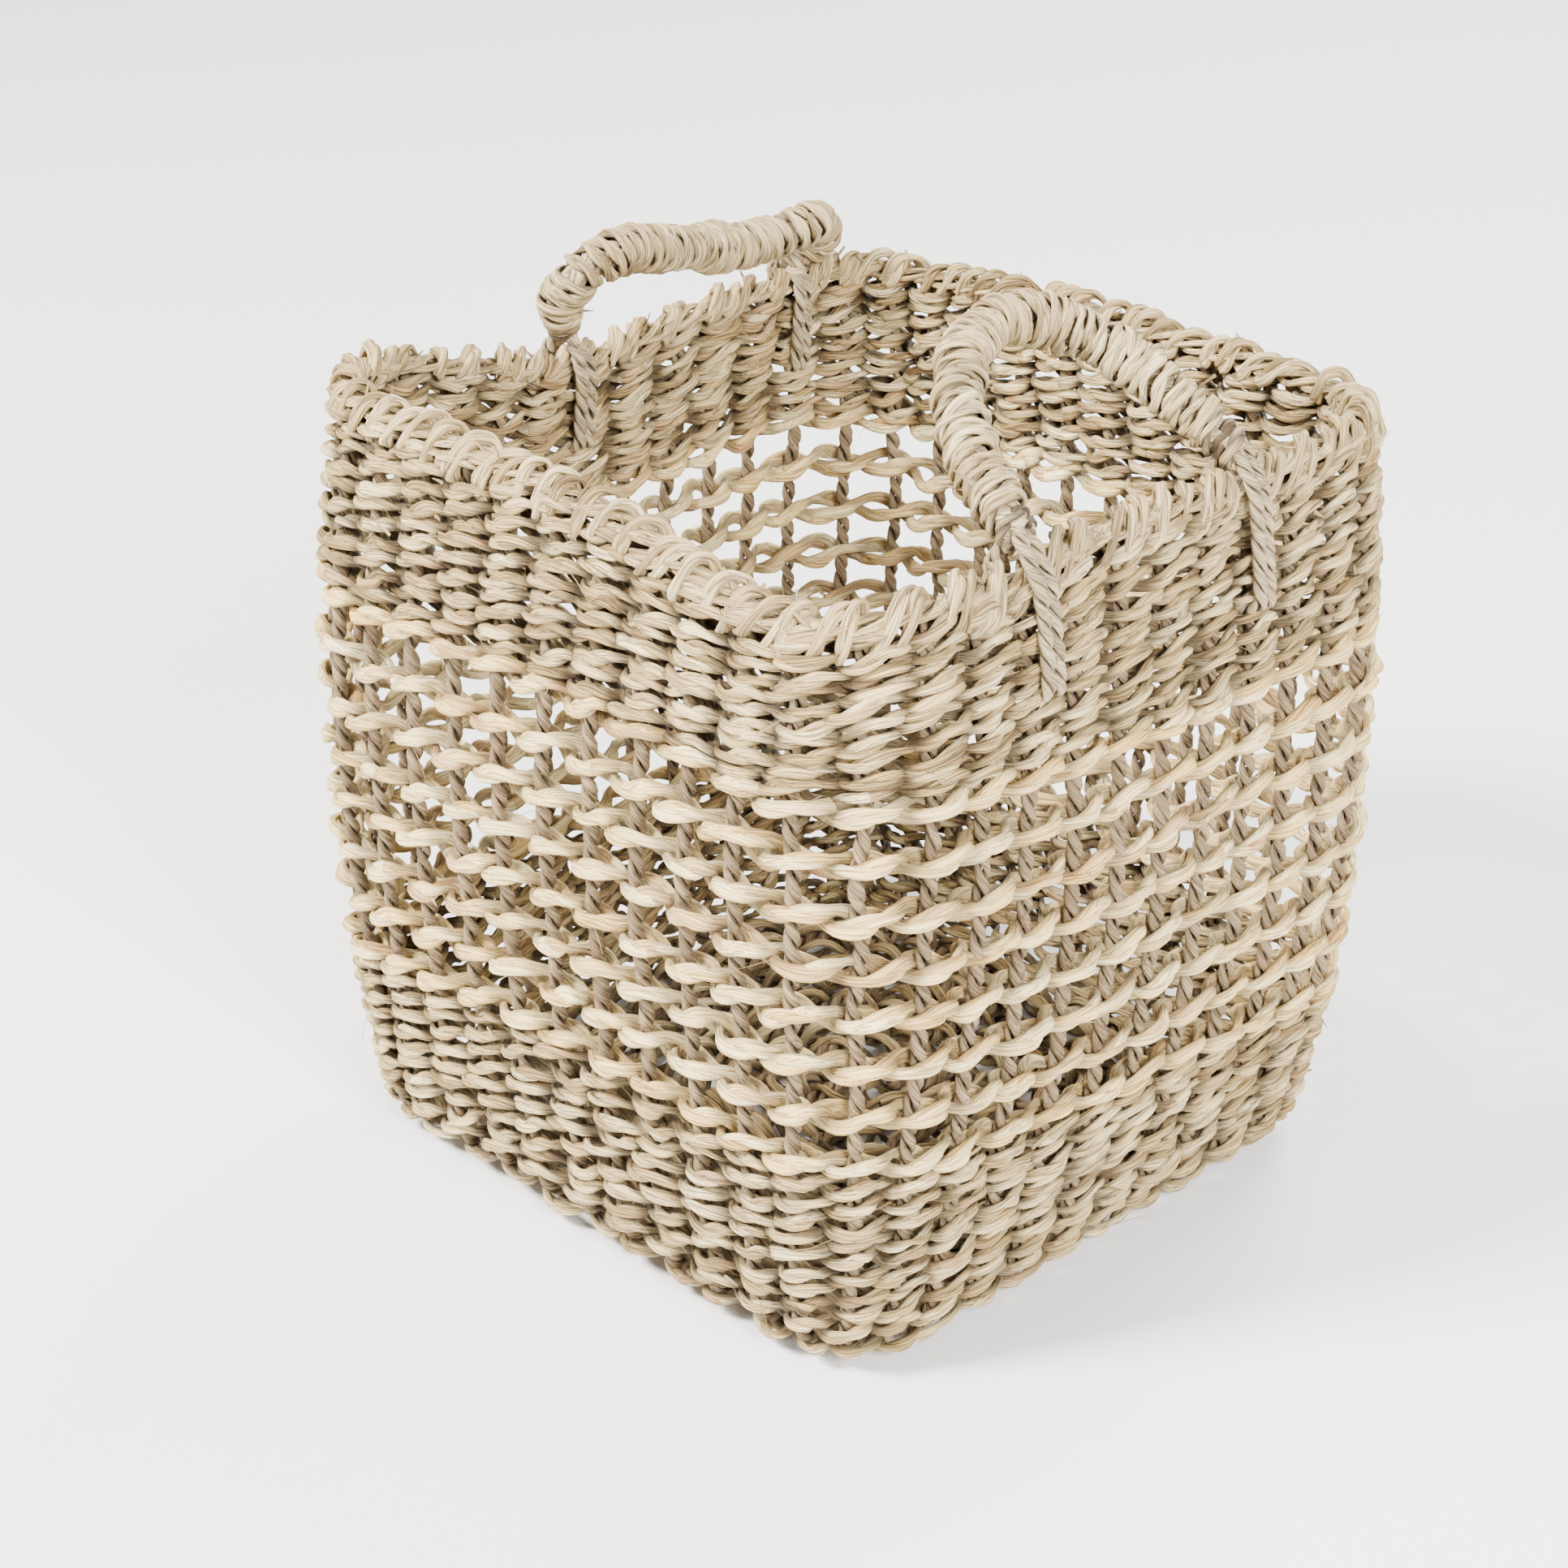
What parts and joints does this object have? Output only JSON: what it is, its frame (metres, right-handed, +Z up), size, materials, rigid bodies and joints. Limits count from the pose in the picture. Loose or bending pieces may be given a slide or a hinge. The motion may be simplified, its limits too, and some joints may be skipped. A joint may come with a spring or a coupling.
{
  "type": "storage basket",
  "caption": "Open square storage basket twined from seagrass round upright stakes, with an open lattice band, a braided edge and two swinging rope handles.",
  "frame": {"origin": "middle of the resting face, where the basket stands on a surface", "axes": "+Z up; +X towards the wall that carries the larger handle; the handles swing about lines along Y above the +X and -X walls"},
  "size_m": [0.333, 0.3302, 0.3849],
  "materials": {
    "seagrass": "matte",
    "light_leaf": "satin",
    "stake_cord": "matte",
    "edge_braid": "matte",
    "handle_core": "matte",
    "handle_wrap": "satin",
    "tie_cord": "matte"
  },
  "bodies": {
    "basket": {"base_round_1": "seagrass", "base_round_10": "seagrass", "base_round_2": "seagrass", "base_round_3": "seagrass", "base_round_4": "seagrass", "base_round_5": "seagrass", "base_round_6": "seagrass", "base_round_7": "seagrass", "base_round_8": "seagrass", "base_round_9": "seagrass", "base_warps_lower": "stake_cord", "base_warps_upper": "stake_cord", "border_row": "edge_braid", "edge_braid": "edge_braid", "light_row_1": "light_leaf", "light_row_2": "light_leaf", "light_row_3": "light_leaf", "light_row_4": "light_leaf", "light_row_5": "light_leaf", "light_row_6": "light_leaf", "light_row_7": "light_leaf", "light_row_8": "light_leaf", "lower_row_01": "seagrass", "lower_row_02": "seagrass", "lower_row_03": "seagrass", "lower_row_04": "seagrass", "lower_row_05": "seagrass", "lower_row_06": "seagrass", "lower_row_07": "seagrass", "lower_row_08": "seagrass", "lower_row_09": "seagrass", "lower_row_10": "seagrass", "lower_row_11": "seagrass", "stakes_back": "stake_cord", "stakes_corner": "stake_cord", "stakes_front": "stake_cord", "stakes_left": "stake_cord", "stakes_right": "stake_cord", "tie_cord_left_front": "tie_cord", "tie_cord_left_rear": "tie_cord", "tie_cord_right_front": "tie_cord", "tie_cord_right_rear": "tie_cord", "upper_row_01": "seagrass", "upper_row_02": "seagrass", "upper_row_03": "seagrass", "upper_row_04": "seagrass", "upper_row_05": "seagrass", "upper_row_06": "seagrass", "upper_row_07": "seagrass", "upper_row_08": "seagrass", "upper_row_09": "seagrass"},
    "right_handle": {"handle_rope_right": "handle_core", "handle_wrap_right": "handle_wrap"},
    "left_handle": {"handle_rope_left": "handle_core", "handle_wrap_left": "handle_wrap"}
  },
  "joints": [
    {"name": "right_handle_swing", "type": "hinge", "parent": "basket", "child": "right_handle", "pos_m": [0.1501, 0, 0.33265], "axis": [0, 1, 0], "range_deg": [-23, 153]},
    {"name": "left_handle_swing", "type": "hinge", "parent": "basket", "child": "left_handle", "pos_m": [-0.1501, 0, 0.33265], "axis": [0, -1, 0], "range_deg": [-46, 130]}
  ]
}
